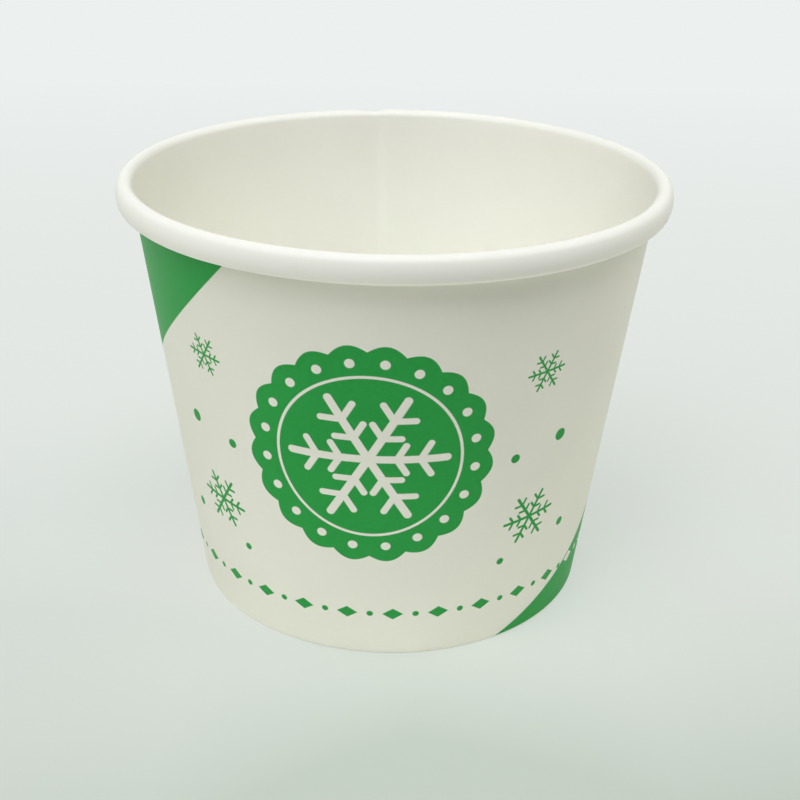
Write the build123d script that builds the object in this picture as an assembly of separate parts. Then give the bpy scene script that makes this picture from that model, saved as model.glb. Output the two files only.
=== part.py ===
from build123d import *

import os
from math import atan, cos, degrees, radians, sin, tan

# Paper ice cream cup: a fan-shaped blank of coated paperboard wrapped into a cone, lapped and sealed
# at the back, curled outwards at the rim and folded in at the foot round the skirt of a paper bottom.
# Millimetres, +Z up, origin on the floor at the cup's axis, -Y towards the printed front.

# Cup
height = 68.0                # floor to the top of the rolled rim
mouth_diameter = 81.1        # outer face of the wall, carried up to the rim's top
base_diameter = 64.5         # outer face of the wall, carried down to the floor

# Paperboard
wall_board = 0.35            # thickness of the sidewall's board
bottom_board = 0.30          # thickness of the bottom's board
seat_clearance = 0.05        # between the bottom's skirt and the board on each side of it

# Rolled rim
roll_width = 2.65            # from the inside of the wall to the outermost point of the roll
flank_radius = 3.40          # centre line of the roll's outer flank
flank_half_turn = 20.0       # degrees of flank above and below the roll's widest point
tuck_turn = 40.0             # degrees that the free edge curls on, once it has met the wall
roll_clearance = 0.08        # between the roll's underside and the wall

# Foot
bottom_height = 6.2          # floor to the upper face of the bottom
hem_height = 5.2             # floor to the free edge of the folded hem
skirt_lift = 0.30            # from the inside of the fold to the skirt's free edge
skirt_bend = 0.45            # centre line of the bend from the bottom's disc into its skirt

# Side seam
seam_azimuth = 95.5          # degrees from +X to the inner layer's cut edge
lap_width = 7.0              # overlap of the two ends of the blank, at the foot
ramp_width = 1.4             # run over which the outer layer climbs on to the inner one
seal_press_share = 0.86      # share of a board's thickness that the outer layer stands off
lap_foot = 1.1               # floor to the lower end of the outer layer

base_radius = base_diameter / 2
half_board = wall_board / 2
lean = atan((mouth_diameter - base_diameter) / 2 / height)
slope = degrees(lean)
flank_lean = radians(flank_half_turn)


def heading_vector(heading):
    """Unit vector of a heading, in degrees, in the (radius, height) plane."""
    return Vector(cos(radians(heading)), sin(radians(heading)))


def straight(length):
    """A step of a path: a run straight ahead."""
    return length, None


def turn(radius, angle):
    """A step of a path: an arc of that centre line radius, left where the angle is positive."""
    return radius, angle


def side_edges(start, heading, steps, offset):
    """Edges that run beside a path at an offset, positive to its left. A turn may close to a crease."""
    edges = []
    here, facing = start, heading
    for size, angle in steps:
        left = heading_vector(facing + 90)
        if angle is None:
            after = here + heading_vector(facing) * size
            edges.append(Edge.make_line(here + left * offset, after + left * offset))
            here = after
            continue
        side = 1 if angle > 0 else -1
        centre = here + left * (side * size)
        spokes = [heading_vector(facing - side * 90 + part) for part in (0, angle / 2, angle)]
        reach = size - side * offset
        if reach > 0:
            edges.append(Edge.make_three_point_arc(*[centre + spoke * reach for spoke in spokes]))
        here = centre + spokes[-1] * size
        facing += angle
    return edges


def board_section(start, heading, steps, left, right):
    """Face of the board between two offsets of its path, standing on the XZ plane."""
    left_side = side_edges(start, heading, steps, left)
    right_side = side_edges(start, heading, steps, right)
    first_edge = Edge.make_line(right_side[0] @ 0, left_side[0] @ 0)
    last_edge = Edge.make_line(left_side[-1] @ 1, right_side[-1] @ 1)
    return Plane.XZ * Face(Wire([first_edge, *left_side, last_edge, *right_side]))


def wall_centre(z):
    """Point of the wall's centre line at a height."""
    return Vector(base_radius + z * tan(lean) - half_board / cos(lean), z)


# Where the straight wall ends and the roll begins
flank_bulge = flank_radius * (1 - cos(flank_lean))
top_radius = (roll_width - half_board * (1 + cos(lean)) - flank_bulge) / (cos(lean) + cos(flank_lean))
roll_start = height - half_board - top_radius * (1 - sin(lean))

# Where the fold of the foot ends and the straight wall begins. The fold is pressed to a crease inside.
fold_radius = half_board
fold_end = half_board + fold_radius * (1 - sin(lean))
skirt_spacing = (wall_board + bottom_board) / 2 + seat_clearance


def roll_steps():
    """The rolled rim: over the top, down the flank, under, and tucked up inside itself."""
    flank_reach = top_radius * (1 + cos(flank_lean + lean))
    flank_reach += 2 * flank_radius * sin(flank_lean) * sin(lean)
    under_radius = (flank_reach - wall_board - roll_clearance) / (1 + cos(flank_lean - lean))
    return [
        turn(top_radius, slope + flank_half_turn - 180),
        turn(flank_radius, -2 * flank_half_turn),
        turn(under_radius, flank_half_turn - slope - 180 - tuck_turn),
    ]


def foot_section():
    """The hem, the fold round the skirt, and the first of the wall."""
    land = (2 * skirt_spacing - 2 * fold_radius) / cos(lean)
    hem_end = wall_centre(fold_end) - Vector(2 * fold_radius * cos(lean) + land, -2 * fold_radius * sin(lean))
    hem_run = (hem_height - hem_end.Y) / cos(lean)
    steps = [
        straight(hem_run),
        turn(fold_radius, 90 + slope),
        straight(land),
        turn(fold_radius, 90 - slope),
        straight((lap_foot - fold_end) / cos(lean)),
    ]
    start = hem_end + heading_vector(90 - slope) * hem_run
    return board_section(start, -90 - slope, steps, half_board, -half_board)


def wall_section(stand_off):
    """The wall above the foot with the rolled rim, moved outwards by a distance."""
    steps = [straight((roll_start - lap_foot) / cos(lean)), *roll_steps()]
    start = wall_centre(lap_foot)
    return board_section(start, 90 - slope, steps, half_board - stand_off, -half_board - stand_off)


def swept(section, start, arc):
    """A section carried round the axis from one azimuth through an arc, in degrees."""
    return revolve(Rot(Z=start) * section, Axis.Z, revolution_arc=arc)


def build_sidewall():
    """One blank: a full turn of wall, a short ramp, and the lap that lies on the wall's other end."""
    stand_off = wall_board * seal_press_share
    ramp_arc = degrees(ramp_width / base_radius)
    lap_arc = degrees(lap_width / base_radius)
    plain, outer = wall_section(0), wall_section(stand_off)
    ramp_azimuth = seam_azimuth - ramp_arc
    ramp_start = (Rot(Z=ramp_azimuth) * plain).outer_wire()
    ramp_end = (Rot(Z=seam_azimuth) * outer).outer_wire()
    pieces = [
        swept(plain, seam_azimuth, 360 - ramp_arc),
        Solid.make_loft([ramp_start, ramp_end], ruled=True),
        swept(outer, seam_azimuth, lap_arc),
        swept(foot_section(), ramp_azimuth, 360),
    ]
    return pieces[0].fuse(*pieces[1:])


def build_bottom_disc():
    """A stamped disc of board whose edge is turned down into a skirt."""
    top = bottom_height - bottom_board / 2
    skirt_offset = skirt_spacing / cos(lean)
    bend_end = top - skirt_bend * (1 + sin(lean))
    bend_start = wall_centre(bend_end).X - skirt_offset - skirt_bend * cos(lean)
    skirt_end = wall_board + skirt_lift
    steps = [
        straight(bend_start),
        turn(skirt_bend, -90 - slope),
        straight((bend_end - skirt_end) / cos(lean)),
    ]
    half = bottom_board / 2
    return swept(board_section(Vector(0, top), 0, steps, half, -half), 0, 360)


os.makedirs("parts", exist_ok=True)
sidewall = build_sidewall()
bottom_disc = build_bottom_disc()
export_step(sidewall, "parts/sidewall.step")
export_step(bottom_disc, "parts/bottom_disc.step")

rim_diameter = sidewall.bounding_box().size.X
print(f"rim {rim_diameter:.2f} mm across, wall {slope:.2f} degrees from upright")
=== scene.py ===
import math

import bpy
import numpy as np
from mathutils import Matrix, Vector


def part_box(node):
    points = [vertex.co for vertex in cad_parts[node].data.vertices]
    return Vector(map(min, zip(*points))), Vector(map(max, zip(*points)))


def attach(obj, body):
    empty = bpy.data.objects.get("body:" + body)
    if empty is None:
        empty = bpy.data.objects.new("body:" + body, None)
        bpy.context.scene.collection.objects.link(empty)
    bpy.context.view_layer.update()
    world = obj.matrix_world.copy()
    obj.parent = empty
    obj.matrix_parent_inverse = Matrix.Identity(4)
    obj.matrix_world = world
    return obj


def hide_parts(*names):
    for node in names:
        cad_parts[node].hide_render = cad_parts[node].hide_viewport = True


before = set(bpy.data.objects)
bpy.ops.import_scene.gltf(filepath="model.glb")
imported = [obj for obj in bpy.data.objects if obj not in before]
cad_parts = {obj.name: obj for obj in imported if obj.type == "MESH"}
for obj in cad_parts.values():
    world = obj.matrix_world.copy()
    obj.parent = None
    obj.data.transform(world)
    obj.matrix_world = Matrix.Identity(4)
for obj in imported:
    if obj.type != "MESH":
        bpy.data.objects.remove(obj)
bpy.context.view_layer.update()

mm = 0.001

# Sidewall: one fan-shaped blank of coated paperboard, printed outside in one colour, wrapped into a cone
# and heat-sealed along a lap at the back. Its top edge is curled outwards into the rim, and its foot is
# folded in round the bottom's skirt and pressed with small flutes.

cup_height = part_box("sidewall")[1].z
wall_board = 0.35 * mm
half_board = wall_board / 2
mouth_radius = 40.55 * mm            # outer face of the wall, carried up to the rim's top
base_radius = 32.25 * mm             # outer face of the wall, carried down to the floor
lean = math.atan((mouth_radius - base_radius) / cup_height)

roll_width = 2.65 * mm               # from the inside of the wall to the outermost point of the roll
flank_radius = 3.40 * mm             # middle of the board on the roll's outer flank
flank_half_turn = math.radians(20)
tuck_turn = math.radians(40)         # what the free edge curls on, once it has met the wall
roll_clearance = 0.08 * mm           # between the roll's underside and the wall

fold_radius = 0.6 * wall_board
low_wall = 3.0 * mm                  # of the wall above the fold, where the rows of faces lie closer
bottom_board = 0.30 * mm
seat_clearance = 0.05 * mm           # between the bottom's skirt and the board on each side of it
skirt_spacing = (wall_board + bottom_board) / 2 + seat_clearance
hem_height = 5.2 * mm

flute_count = 72
flute_depth = 0.10 * mm
flute_power = 0.7                    # under 1, it makes the ridges wider than the grooves
flute_rise = (0.6 * mm, 1.4 * mm)    # up the hem from its fold, where the flutes set in
flute_fade = (4.2 * mm, 4.9 * mm)    # and where they run out

seam_azimuth = math.radians(95.5)    # from +X to the inner layer's cut edge
ramp_arc = 2.2 * mm / base_radius    # over which the outer layer climbs on to the inner one
lap_arc = 7.0 * mm / base_radius
lap_stand_off = 1.03 * wall_board
foot_stand_off = 0.02 * mm
lap_rise = (0.4 * mm, 1.6 * mm)      # heights between which the lap is pressed flat into the foot
pared_board = 0.02 * mm              # thickness left at the inner layer's cut edge
pared_arc = 3.6 * mm / base_radius
wall_columns, ramp_columns, lap_columns = 551, 8, 16
slow_waves = (                       # how far the wall is out of true at the rim
    # waves round the cup, size, phase, and the power of the height's share by which they grow
    (2, 0.070 * mm, 0.7, 1),
    (3, 0.042 * mm, 2.1, 1),
    (11, 0.030 * mm, 1.3, 2),
)

print_azimuth = math.radians(265)    # from +X to the print's middle
fan_foot = base_radius / math.sin(lean)    # radius of the flat blank at the cup's foot
bake_margin = 0.004
cut_slot = 2                         # material slot of the cut edges, which are flat


def carried(start, heading, steps):
    """Points and left-hand normals along a path in the (radius, height) plane.

    A step is (size, turn, rows). Without a turn, it runs straight ahead by its size. With one, it is an arc
    of that radius: its centre lies to the side that it turns to, and the normal turns about it.
    """
    place, facing = np.array(start), heading
    points, normals = [], []
    for size, angle, rows in steps:
        share = np.arange(rows + 1) / rows
        bearing = facing + share * (angle or 0)
        left = np.stack([-np.sin(bearing), np.cos(bearing)], 1)
        if angle is None:
            ahead = np.array([math.cos(facing), math.sin(facing)])
            track = place + share[:, None] * size * ahead
        else:
            reach = math.copysign(size, angle)
            track = place + reach * (left[0] - left)
            facing += angle
        points.append(track[:-1])
        normals.append(left[:-1])
        place = track[-1]
    points.append(track[-1:])
    normals.append(left[-1:])
    return np.concatenate(points), np.concatenate(normals)


def blank_path():
    """The middle of the board, from the hem's free edge down, round the fold, up the wall and round the
    rim, as straight runs and arcs that meet along one heading."""
    quarter = math.pi / 2
    flank_bulge = flank_radius * (1 - math.cos(flank_half_turn))
    top_radius = roll_width - half_board * (1 + math.cos(lean)) - flank_bulge
    top_radius /= math.cos(lean) + math.cos(flank_half_turn)
    flank_reach = top_radius * (1 + math.cos(flank_half_turn + lean))
    flank_reach += 2 * flank_radius * math.sin(flank_half_turn) * math.sin(lean)
    under_radius = flank_reach - wall_board - roll_clearance
    under_radius /= 1 + math.cos(flank_half_turn - lean)

    fold_end = half_board + fold_radius * (1 - math.sin(lean))
    wall_foot = base_radius + fold_end * math.tan(lean) - half_board / math.cos(lean)
    land = (2 * skirt_spacing - 2 * fold_radius) / math.cos(lean)
    hem_end = fold_end + 2 * fold_radius * math.sin(lean)
    hem_run = (hem_height - hem_end) / math.cos(lean)
    start = (
        wall_foot - 2 * fold_radius * math.cos(lean) - land + hem_run * math.sin(lean),
        hem_end + hem_run * math.cos(lean),
    )
    roll_start = cup_height - half_board - top_radius * (1 - math.sin(lean))
    low_run = low_wall / math.cos(lean)
    high_run = (roll_start - fold_end) / math.cos(lean) - low_run
    return carried(start, -quarter - lean, [
        (hem_run, None, 6),
        (fold_radius, quarter + lean, 4),
        (land, None, 1),
        (fold_radius, quarter - lean, 4),
        (low_run, None, 8),
        (high_run, None, 20),
        (top_radius, lean + flank_half_turn - math.pi, 14),
        (flank_radius, -2 * flank_half_turn, 5),
        (under_radius, flank_half_turn - lean - math.pi - tuck_turn, 16),
    ])


def eased(value, low, high):
    """A smooth step from 0 at low to 1 at high: 3t squared less 2t cubed, t held between 0 and 1."""
    t = np.clip((value - low) / (high - low), 0, 1)
    return t * t * (3 - 2 * t)


def spun(radius, height, azimuth):
    """Points of a radius and a height, carried round the axis to each azimuth."""
    around = np.broadcast_arrays(radius * np.cos(azimuth), radius * np.sin(azimuth), height)
    return np.stack(around, -1)


def sheet_grid():
    """Outer and inner faces of the sidewall's sheet, as (column, row, xyz) arrays, with each column's arc
    from the seam and each row's distance up the board from the floor.

    Each face is the path moved half a board along its normal and carried round the axis. Past a full turn
    the sheet lies outside itself, by the lap's stand-off. The inner layer is pared thin from within towards
    its cut edge. Flutes are raised cosines pressed into the hem, and the wall is out of true by a few slow
    sines.
    """
    path, normal = blank_path()
    reach, height = path.T
    steps = np.linalg.norm(np.diff(path, axis=0), axis=1)
    run = np.concatenate([[0], np.cumsum(steps)])
    foot_row = np.flatnonzero(np.isclose(height, height.min()))[-1]
    climb = run - run[foot_row]

    full_turn = 2 * math.pi
    arc = np.concatenate([
        np.linspace(0, full_turn - ramp_arc, wall_columns, endpoint=False),
        np.linspace(full_turn - ramp_arc, full_turn, ramp_columns, endpoint=False),
        np.linspace(full_turn, full_turn + lap_arc, lap_columns + 1),
    ])
    azimuth = (seam_azimuth + arc)[:, None]

    lifted = eased(arc, full_turn - ramp_arc, full_turn)[:, None]
    risen = eased(height, *lap_rise) * (climb > 0)
    stand_off = lifted * (foot_stand_off + (lap_stand_off - foot_stand_off) * risen)
    pared = (wall_board - pared_board) * (1 - eased(arc, 0, pared_arc))[:, None]

    on_hem = eased(-climb, *flute_rise) * (1 - eased(-climb, *flute_fade))
    flute = flute_depth * on_hem * (0.5 - 0.5 * np.cos(flute_count * azimuth)) ** flute_power
    out_of_true = sum(
        size * (height / cup_height) ** power * np.sin(count * azimuth + phase)
        for count, size, phase, power in slow_waves
    )

    faces = []
    for offset in (-half_board + flute - stand_off, half_board - pared - stand_off):
        radius = reach + offset * normal[:, 0] + out_of_true
        faces.append(spun(radius, height + offset * normal[:, 1], azimuth))
    return *faces, arc, climb


def quads(grid):
    """What stands at the four corners of each of a grid's quads, going round it."""
    corners = [grid[:-1, :-1], grid[1:, :-1], grid[1:, 1:], grid[:-1, 1:]]
    return np.stack(corners, 2).reshape(-1, 4, *grid.shape[2:])


def strip_map(shape, low, high):
    """Corners of a grid's quads in a bake strip: along the strip by column, across it by row."""
    along = np.linspace(bake_margin, 1 - bake_margin, shape[0])
    across = np.linspace(low, high, shape[1])
    return quads(np.stack(np.meshgrid(along, across, indexing="ij"), -1))


def blank_map(arc, climb):
    """Each vertex's place on the blank laid flat, from the foot below the print's middle.

    The blank is a fan, whose angle is the azimuth from the print's middle times the sine of the lean.
    """
    fan_angle = ((seam_azimuth + arc - print_azimuth) * math.sin(lean))[:, None]
    fan_radius = fan_foot + climb
    place = [fan_radius * np.sin(fan_angle), fan_radius * np.cos(fan_angle) - fan_foot]
    return np.stack(place, -1).reshape(-1, 2)


def filled(name, points, groups, slots, maps):
    """A mesh from its vertices, its groups of faces, each group's material slot, and its UV maps.

    The edges round a flat face are creased, so that the smooth faces beside it keep their own normals.
    """
    faces = [face for group in groups for face in group.tolist()]
    slots = np.repeat(slots, [len(group) for group in groups])
    flat = slots == cut_slot
    mesh = bpy.data.meshes.new(name)
    mesh.from_pydata(points.tolist(), [], faces)
    mesh.polygons.foreach_set("material_index", slots.astype(np.int32))
    mesh.polygons.foreach_set("use_smooth", ~flat)
    edge_of_corner = np.empty(len(mesh.loops), np.int32)
    mesh.loops.foreach_get("edge_index", edge_of_corner)
    creased = np.zeros(len(mesh.edges), bool)
    creased[edge_of_corner[np.repeat(flat, [len(face) for face in faces])]] = True
    mesh.edges.foreach_set("use_edge_sharp", creased)
    for label, corners in maps.items():
        mesh.uv_layers.new(name=label).data.foreach_set("uv", corners.astype(np.float32).ravel())
    mesh.update()
    return mesh


def build_sidewall():
    """The sheet's two faces, joined by strips along the hem's and the rim's free edges and the cut ends.

    Each part is a grid of vertices, which way its quads go round, its slot, and its strip of the bake map.
    """
    outer, inner, arc, climb = sheet_grid()
    outside = np.arange(outer[..., 0].size).reshape(len(arc), len(climb))
    inside = outside + outside.size
    middle = len(arc) // 2
    parts = [
        (outside[: middle + 1], 1, 0, (0.004, 0.362)),
        (outside[middle:], 1, 0, (0.370, 0.728)),
        (inside, -1, 1, (0.736, 0.974)),
        (np.stack([inside[:, 0], outside[:, 0]], 1), 1, cut_slot, (0.978, 0.982)),
        (np.stack([outside[:, -1], inside[:, -1]], 1), 1, cut_slot, (0.984, 0.988)),
        (np.stack([outside[0], inside[0]], 1), 1, cut_slot, (0.990, 0.993)),
        (np.stack([inside[-1], outside[-1]], 1), 1, cut_slot, (0.995, 0.998)),
    ]
    groups = [quads(grid)[:, ::way] for grid, way, slot, strip in parts]
    bake = [strip_map(grid.shape, *strip)[:, ::way] for grid, way, slot, strip in parts]
    slots = [slot for grid, way, slot, strip in parts]
    flat = np.tile(blank_map(arc, climb), (2, 1))
    maps = {"OFBake": np.concatenate(bake), "blank": flat[np.concatenate(groups)]}
    points = np.concatenate([outer.reshape(-1, 3), inner.reshape(-1, 3)])
    return filled("printed_sidewall", points, groups, slots, maps)


class Wire:
    """A value on its way through a material's nodes. Working on it, from either side, adds a Math node."""

    def __init__(self, socket):
        self.socket = socket

    def __add__(self, other):
        return reckoned("ADD", self, other)

    def __sub__(self, other):
        return reckoned("SUBTRACT", self, other)

    def __rsub__(self, other):
        return reckoned("SUBTRACT", other, self)

    def __mul__(self, other):
        return reckoned("MULTIPLY", self, other)

    def __truediv__(self, other):
        return reckoned("DIVIDE", self, other)

    def __rtruediv__(self, other):
        return reckoned("DIVIDE", other, self)

    def __pow__(self, other):
        return reckoned("POWER", self, other)

    def __rpow__(self, other):
        return reckoned("POWER", other, self)

    def __abs__(self):
        return reckoned("ABSOLUTE", self)

    __radd__ = __add__
    __rmul__ = __mul__

    def least(self, other):
        return reckoned("MINIMUM", self, other)

    def most(self, other):
        return reckoned("MAXIMUM", self, other)

    def held(self, low, high):
        return self.most(low).least(high)


def added(tree, kind, settings, inputs):
    """A node of a type, with its settings made first and then its sockets' values or links."""
    node = tree.nodes.new(kind)
    for name, value in settings.items():
        setattr(node, name, value)
    for name, value in inputs.items():
        if isinstance(value, Wire):
            tree.links.new(value.socket, node.inputs[name])
        else:
            node.inputs[name].default_value = value
    return node


def reckoned(operation, *values):
    """A Math node's result from numbers and wires."""
    tree = next(value.socket.id_data for value in values if isinstance(value, Wire))
    node = added(tree, "ShaderNodeMath", {"operation": operation}, dict(enumerate(values)))
    return Wire(node.outputs[0])


def length(x, y):
    """Distance of a point from the origin."""
    return (x * x + y * y) ** 0.5


# The print, in millimetres on the flat blank, from the foot below the print's middle

ink_edge = 0.12                      # over which the ink thins out at an outline
left_field = (-315.8, 333.2, 400.0)  # centre and radius of a circle printed inside, at the upper left
right_field = (-84.2, 280.5, 300.0)  # and of one printed outside, at the lower right
medal_centre = (0.0, 36.5)
medal_radius = 17.3
scallop_count = 20
scallop_rise = 1.1
dot_ring, medal_dot = 15.6, 0.72     # radius of the ring of bare dots, and of a dot
thin_ring, thin_half_width = 13.4, 0.22
medal_crystal = 11.2                 # length of its arms, as for the others below
arm_share = 0.055                    # half the width of a crystal's arms, as a share of their length
twig_share = 0.045
twigs = ((0.36, 0.24), (0.66, 0.27))    # a twig's place on its arm, and its length, as such shares
bead_height = 8.0
bead_spacing = 7.0
bead_dot = 0.5
diamond_half_width = 1.6
diamond_squash = 1.5                 # width over height
crystal_pairs = ((25.5, 21.5, 4.6), (26.5, 47.0, 3.2))    # distance to either side, height and size
dot_pairs = ((22.0, 33.5, 0.75), (30.5, 34.5, 1.0), (20.5, 14.8, 0.6), (33.0, 16.5, 0.75))


def printed(distance):
    """How much ink lies at a distance outside an outline: all of it inside, and a soft edge on the line."""
    return (0.5 - distance / ink_edge).held(0, 1)


def bar(x, y, start, angle, reach, half_width):
    """Distance outside a straight bar with round ends, drawn from a point on the x axis at an angle to it.

    The offset from the bar's start is split into a part along the bar, held to its length, and the rest.
    """
    away = x - start
    along = (away * math.cos(angle) + y * math.sin(angle)).held(0, reach)
    return length(away - along * math.cos(angle), y - along * math.sin(angle)) - half_width


def crystal(x, y, size):
    """Distance outside a six-armed snow crystal: the point is turned into one sector, where there is one
    arm and half of its pairs of twigs."""
    sector = math.pi / 3
    turns = reckoned("ARCTAN2", y, x) / sector
    angle = (reckoned("FRACT", turns + 0.5) - 0.5) * sector
    radius = length(x, y)
    along = radius * reckoned("COSINE", angle)
    aside = abs(radius * reckoned("SINE", angle))
    shape = bar(along, aside, 0, 0, size, arm_share * size)
    for place, reach in twigs:
        shape = shape.least(bar(along, aside, place * size, sector, reach * size, twig_share * size))
    return shape


def medal(x, y):
    """A scalloped disc of ink with a ring of dots, a thin ring and a snow crystal left bare in it."""
    radius = length(x, y)
    angle = reckoned("ARCTAN2", y, x)
    scallops = scallop_rise * abs(reckoned("SINE", angle * (scallop_count / 2)))
    disc = radius - medal_radius - scallops
    pitch = 2 * math.pi / scallop_count
    beside = (reckoned("FRACT", angle / pitch) - 0.5) * pitch * radius
    dots = length(radius - dot_ring, beside) - medal_dot
    ring = abs(radius - thin_ring) - thin_half_width
    bare = dots.least(ring).least(crystal(x, y, medal_crystal))
    return printed(disc) * (1 - printed(bare))


def bead_border(x, y):
    """Diamonds and dots by turns, along an arc at one height of the wall."""
    foot = fan_foot / mm
    up = y + foot
    level = length(x, up) - foot - bead_height
    turns = reckoned("ARCTAN2", x, up) * ((foot + bead_height) / bead_spacing)
    beside = abs(reckoned("FRACT", turns) - 0.5) * bead_spacing
    diamond = (beside + diamond_squash * abs(level) - diamond_half_width) / math.hypot(1, diamond_squash)
    dot = length(bead_spacing / 2 - beside, level) - bead_dot
    return printed(diamond.least(dot))


def ink_cover(x, y):
    """How much ink lies on a spot of the blank, from 0 to 1: two fields of colour, and the pattern, which
    turns from ink to bare board where it crosses a field."""
    left = printed(length(x - left_field[0], y - left_field[1]) - left_field[2])
    right = printed(right_field[2] - length(x - right_field[0], y - right_field[1]))
    pattern = medal(x - medal_centre[0], y - medal_centre[1]).most(bead_border(x, y))
    pair = abs(x)
    for place, height, size in crystal_pairs:
        pattern = pattern.most(printed(crystal(pair - place, y - height, size)))
    for place, height, size in dot_pairs:
        pattern = pattern.most(printed(length(pair - place, y - height) - size))
    return abs(left.most(right) - pattern)


# The board's colours, as written in sRGB, and its texture

board_colour = (243, 244, 229)
lining_colour = (250, 250, 239)
ink_colour = (32, 160, 66)
edge_colour = (236, 233, 221)
board_tones = (-5, 4)                # how far the mottle darkens and lightens a colour
ink_tones = (-5, 7)
board_gloss = 0.22
cloud_scale, fibre_scale, cockle_scale = 55.0, 1500.0, 130.0
mottle_mix = (0.9, 0.35)             # how much of the cloud and of the fibre goes into the board's tone
speckle_mix = (0.8, 1.1)             # into the ink's tone
sheen_mix = (0.08, 0.10)             # and into the roughness
ink_sheen = 0.05                     # how much smoother the ink is
fibre_relief, cockle_relief = 12e-6, 90e-6
relief_strength = 0.55


def painted(colour, step=0):
    """A colour written in sRGB from 0 to 255, moved by a step, as the linear one that a socket takes."""
    values = [min(255, c + step) / 255 for c in colour]
    return (*[v / 12.92 if v <= 0.04045 else ((v + 0.055) / 1.055) ** 2.4 for v in values], 1)


def blended(tree, share, first, second):
    """A colour between two, by a share from 0 to 1."""
    inputs = {0: share, 6: first, 7: second}
    return Wire(added(tree, "ShaderNodeMix", {"data_type": "RGBA"}, inputs).outputs[2])


def texture(tree, place, scale, detail, roughness=0.5):
    """A noise of a size on a place vector, which strays from 0 by about 0.2."""
    sockets = {"Vector": place, "Scale": scale, "Detail": detail, "Roughness": roughness}
    return Wire(added(tree, "ShaderNodeTexNoise", {}, sockets).outputs[0]) - 0.5


def weighed(mix, cloud, fibre):
    """The two noises, added by their weights."""
    return mix[0] * cloud + mix[1] * fibre


def cleared(owner):
    """The node tree of a material or the world, empty."""
    owner.use_nodes = True
    owner.node_tree.nodes.clear()
    return owner.node_tree


def board_material(name, colour, ink=None, roughness=0.5):
    """Paperboard: a faint mottle in its colour and sheen, fine fibre and slow cockle as bumps, and ink."""
    material = bpy.data.materials.new(name)
    tree = cleared(material)
    place = Wire(added(tree, "ShaderNodeTexCoord", {}, {}).outputs["Object"])
    cloud = texture(tree, place, cloud_scale, 3.0)
    fibre = texture(tree, place, fibre_scale, 3.0, 0.65)
    cockle = texture(tree, place, cockle_scale, 2.0)

    mottle = (weighed(mottle_mix, cloud, fibre) + 0.5).held(0, 1)
    shade = blended(tree, mottle, *[painted(colour, step) for step in board_tones])
    sheen = roughness + weighed(sheen_mix, cloud, fibre)
    if ink is not None:
        blank = added(tree, "ShaderNodeUVMap", {"uv_map": "blank"}, {})
        parts = added(tree, "ShaderNodeSeparateXYZ", {}, {0: Wire(blank.outputs[0])})
        cover = ink_cover(Wire(parts.outputs[0]) / mm, Wire(parts.outputs[1]) / mm)
        speckle = (weighed(speckle_mix, cloud, fibre) + 0.5).held(0, 1)
        inked = blended(tree, speckle, *[painted(ink, step) for step in ink_tones])
        shade = blended(tree, cover, shade, inked)
        sheen = sheen - ink_sheen * cover

    relief = fibre * fibre_relief + cockle * cockle_relief
    bump = added(tree, "ShaderNodeBump", {}, {
        "Strength": relief_strength, "Distance": 1.0, "Height": relief,
    })
    shader = added(tree, "ShaderNodeBsdfPrincipled", {}, {
        "Base Color": shade, "Roughness": sheen, "Normal": Wire(bump.outputs[0]),
        "Specular IOR Level": board_gloss,
    })
    added(tree, "ShaderNodeOutputMaterial", {}, {"Surface": Wire(shader.outputs[0])})
    return material


def placed(name, data, materials=()):
    """A new object in the scene, with its mesh, lamp or camera, and a mesh's materials."""
    thing = bpy.data.objects.new(name, data)
    bpy.context.scene.collection.objects.link(thing)
    for material in materials:
        data.materials.append(material)
    return thing


printed_face = board_material("board, printed outside", board_colour, ink_colour)
lined_face = board_material("board, coated inside", lining_colour, roughness=0.42)
cut_edge = board_material("board, cut edge", edge_colour, roughness=0.8)
sidewall = placed("printed_sidewall", build_sidewall(), (printed_face, lined_face, cut_edge))
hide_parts("sidewall")
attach(sidewall, "root")

# Bottom: a stamped disc of the same board, whose edge is drawn down into a skirt. The skirt is glued
# between the wall and the folded hem, so the disc stands clear of the table.

bottom_level = 6.2 * mm              # floor to its upper face
skirt_bend = 0.45 * mm               # middle of the board
skirt_lift = 0.30 * mm               # from the inside of the fold to the skirt's free edge
disc_sag = 0.12 * mm
first_ring = 0.5 * mm                # radius of the ring nearest the axis
bottom_columns = 240
bare_colour = (236, 233, 220)


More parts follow.
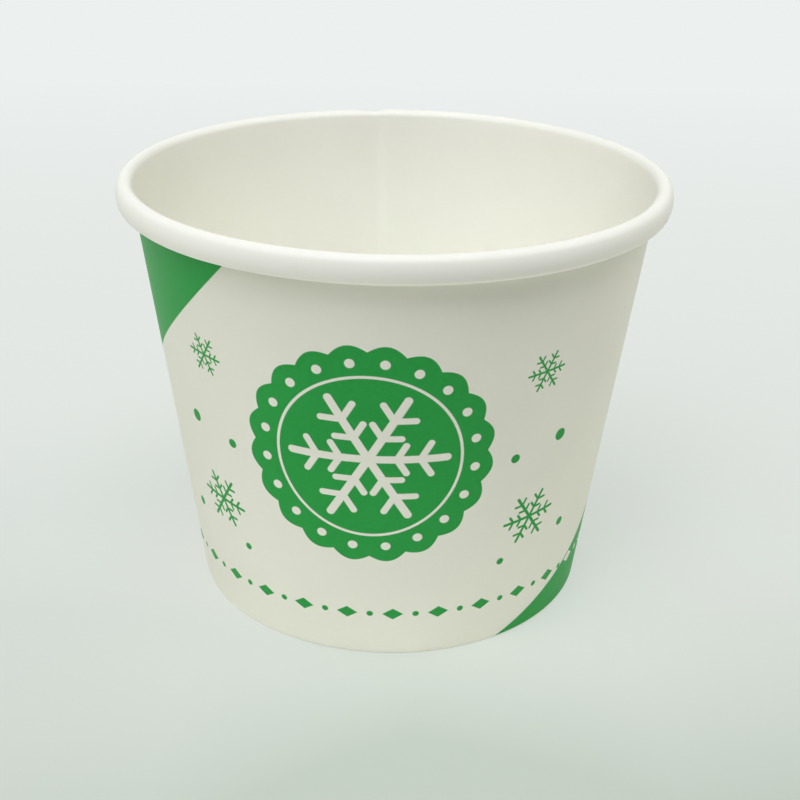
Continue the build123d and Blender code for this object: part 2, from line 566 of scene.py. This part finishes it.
def build_bottom():
    """A path from the axis outwards and down the skirt, moved half a board to either side and carried
    round.

    The two rings nearest the axis are closed by a fan each, and the disc sags by a cosine.
    """
    top = bottom_level - bottom_board / 2
    bend_end = top - skirt_bend * (1 + math.sin(lean))
    wall_middle = base_radius + bend_end * math.tan(lean) - half_board / math.cos(lean)
    bend_start = wall_middle - skirt_spacing / math.cos(lean) - skirt_bend * math.cos(lean)
    skirt_run = (bend_end - wall_board - skirt_lift) / math.cos(lean)
    path, normal = carried((first_ring, top), 0.0, [
        (bend_start - first_ring, None, 24),
        (skirt_bend, -math.pi / 2 - lean, 8),
        (skirt_run, None, 8),
    ])
    reach, height = path.T
    sag = disc_sag * (0.5 + 0.5 * np.cos(math.pi * np.clip(reach / bend_start, 0, 1)))
    height = height - sag * np.isclose(height, top)

    azimuth = np.linspace(0, 2 * math.pi, bottom_columns, endpoint=False)[:, None]
    offsets = (bottom_board / 2, -bottom_board / 2)
    grids = [spun(reach + side * normal[:, 0], height + side * normal[:, 1], azimuth) for side in offsets]
    poles = [(0, 0, top - disc_sag + side) for side in offsets]
    points = np.concatenate([*[grid.reshape(-1, 3) for grid in grids], poles])

    upper = np.arange(bottom_columns * len(path)).reshape(bottom_columns, len(path))
    upper = np.concatenate([upper, upper[:1]])
    lower = upper + bottom_columns * len(path)
    upper_pole = np.full(bottom_columns, len(points) - 2)
    lower_pole = upper_pole + 1
    groups = [
        np.stack([upper_pole, upper[:-1, 0], upper[1:, 0]], 1),
        np.stack([lower_pole, lower[1:, 0], lower[:-1, 0]], 1),
        quads(upper)[:, ::-1],
        quads(lower),
        quads(np.stack([upper[:, -1], lower[:, -1]], 1))[:, ::-1],
    ]
    return filled("paper_bottom", points, groups, [0, 1, 0, 1, cut_slot], {})


bare_face = board_material("board, bare side", bare_colour, roughness=0.66)
bottom = placed("paper_bottom", build_bottom(), (lined_face, bare_face, cut_edge))
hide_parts("bottom_disc")
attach(bottom, "root")

# Table: a plain pale sheet that the cup stands on, and no part of the cup. The eye sees painted shade
# darken it slowly in front of the cup, as far as the view's near edge, and sees only part of the shadow
# that falls on it.

table_size = 4.0
table_bounce = (248, 248, 240)       # what lights the cup from below
table_reach = 0.25                   # in front of the cup, beyond which the sheet throws no light on it
# painted shade: to the eye, the table's colour darkens towards this in front of the cup
near_shade_colour = (180, 193, 179)
middle_colour = (225, 230, 223)
far_colour = (236, 240, 239)
near_start, near_run = 0.01, 0.10    # along y, where the near colour sets in and how fast it comes
near_most = 0.65
near_slant = 4.5                     # the painted shade is stronger on the right, by this for each metre
dip_middle, dip_half_width = 0.004, 0.035    # straight in front of the cup, a painted shadow of the cup adds to it
dip_depth = 0.7
near_end, side_end, near_fade = -0.08, 0.10, 0.12    # out of the photo's view it thins out again
band_middle = -0.06                  # y of the middle of the patch round which the far colour sets in
band_half_width, band_half_length = 0.04, 0.20
far_run, far_power = 0.42, 0.65
shadow_share = 0.40


def build_table():
    """A flat sheet at the floor's level."""
    half = table_size / 2
    corners = [(-half, -half, 0), (half, -half, 0), (half, half, 0), (-half, half, 0)]
    mesh = bpy.data.meshes.new("table")
    mesh.from_pydata(corners, [], [(0, 1, 2, 3)])
    mesh.update()
    return mesh


def eye_rays(tree):
    """1 for what the camera sees, straight or in a gloss or a clear piece, and 0 for light on the cup."""
    path = added(tree, "ShaderNodeLightPath", {}, {})
    kinds = ("Camera", "Glossy", "Transmission")
    straight, gloss, clear = [Wire(path.outputs[f"Is {kind} Ray"]) for kind in kinds]
    return straight.most(gloss).most(clear)


def table_material():
    """Matt. To the eye, its colour runs from the near one, which is painted shade, through the middle one
    to the far one, and part of it is given off evenly, which thins the shadows."""
    material = bpy.data.materials.new("table")
    tree = cleared(material)
    place = added(tree, "ShaderNodeTexCoord", {}, {})
    parts = added(tree, "ShaderNodeSeparateXYZ", {}, {0: Wire(place.outputs["Object"])})
    x, y = Wire(parts.outputs[0]), Wire(parts.outputs[1])
    # painted shadow of the cup, straight in front of it, added to the painted shade below
    painted_cup_shadow = (1 - abs(x - dip_middle) / dip_half_width).most(0)
    # painted shade on the table, seen by the eye: darker towards the near edge and on the right
    near_shade = ((near_start - y).most(0) / near_run) ** 2 * (1 + near_slant * x + dip_depth * painted_cup_shadow)
    near_shade = near_shade.held(0, near_most) * (1 - ((near_end - y) / near_fade).held(0, 1))
    near_shade = near_shade * (1 - ((abs(x) - side_end) / near_fade).held(0, 1))
    outside = (abs(y - band_middle) - band_half_width).most(abs(x) - band_half_length)
    far = (outside / far_run).held(0, 1) ** far_power
    seen = blended(tree, near_shade, painted(middle_colour), painted(near_shade_colour))
    seen = blended(tree, far, seen, painted(far_colour))
    eye = eye_rays(tree)
    within = reckoned("GREATER_THAN", y, -table_reach)
    bounce = blended(tree, within, painted((0, 0, 0)), painted(table_bounce))
    ground = blended(tree, eye, bounce, seen)
    lit = added(tree, "ShaderNodeBsdfDiffuse", {}, {"Color": ground})
    even = added(tree, "ShaderNodeEmission", {}, {"Color": seen, "Strength": 1.0})
    mixed = added(tree, "ShaderNodeMixShader", {}, {
        0: eye * (1 - shadow_share * (1 - far)), 1: Wire(lit.outputs[0]), 2: Wire(even.outputs[0]),
    })
    added(tree, "ShaderNodeOutputMaterial", {}, {"Surface": Wire(mixed.outputs[0])})
    return material


table = placed("table", build_table(), (table_material(),))

# Light: broad soft lamps hang in front of the cup, at its front left and at both sides, as in a light
# tent. The room round them looks pale to the eye and gives hardly any light.

room_colour = (236, 241, 238)
room_strength = 0.01
lamp_size = 0.8
cool, plain, warm = (0.96, 0.99, 1.09), (0.995, 1.0, 1.02), (1.03, 1.0, 0.93)
lamps = (
    # name, place, power in watts and tint
    ("front_lamp", (0.0, -0.45, 1.2), 7.7, cool),
    ("front_left_lamp", (-0.6, -0.6, 0.9), 5.4, plain),
    ("left_side", (-0.9, 0.1, 0.95), 2.2, warm),
    ("right_side", (0.9, 0.1, 0.95), 5.6, warm),
)

world = bpy.data.worlds.new("room")
bpy.context.scene.world = world
room_tree = cleared(world)
glow = {"Color": painted(room_colour), "Strength": eye_rays(room_tree).most(room_strength)}
room = added(room_tree, "ShaderNodeBackground", {}, glow)
added(room_tree, "ShaderNodeOutputWorld", {}, {"Surface": Wire(room.outputs[0])})

for name, place, power, tint in lamps:
    light = bpy.data.lights.new(name, "AREA")
    light.size = lamp_size
    light.energy = power
    light.color = tint
    lamp = placed(name, light)
    lamp.location = place
    lamp.rotation_euler = lamp.location.to_track_quat("Z", "Y").to_euler()

# Camera: a telephone held a little above the rim, looking down at the cup's front, not quite level.

camera_place = (0.0, -0.19484, 0.12041)
look_down = math.radians(25.31)
look_right = math.radians(0.403)
camera_roll = math.radians(1.016)
sensor_width, lens = 36.0, 57.52     # millimetres, as Blender takes them

camera_data = bpy.data.cameras.new("camera")
camera_data.sensor_width = sensor_width
camera_data.lens = lens
camera_data.clip_start = 0.01
camera = placed("camera", camera_data)
turned = Matrix.Rotation(-look_right, 4, "Z") @ Matrix.Rotation(math.pi / 2 - look_down, 4, "X")
camera.matrix_world = Matrix.Translation(camera_place) @ turned @ Matrix.Rotation(camera_roll, 4, "Z")
bpy.context.scene.camera = camera
bpy.context.scene.view_settings.view_transform = "Standard"
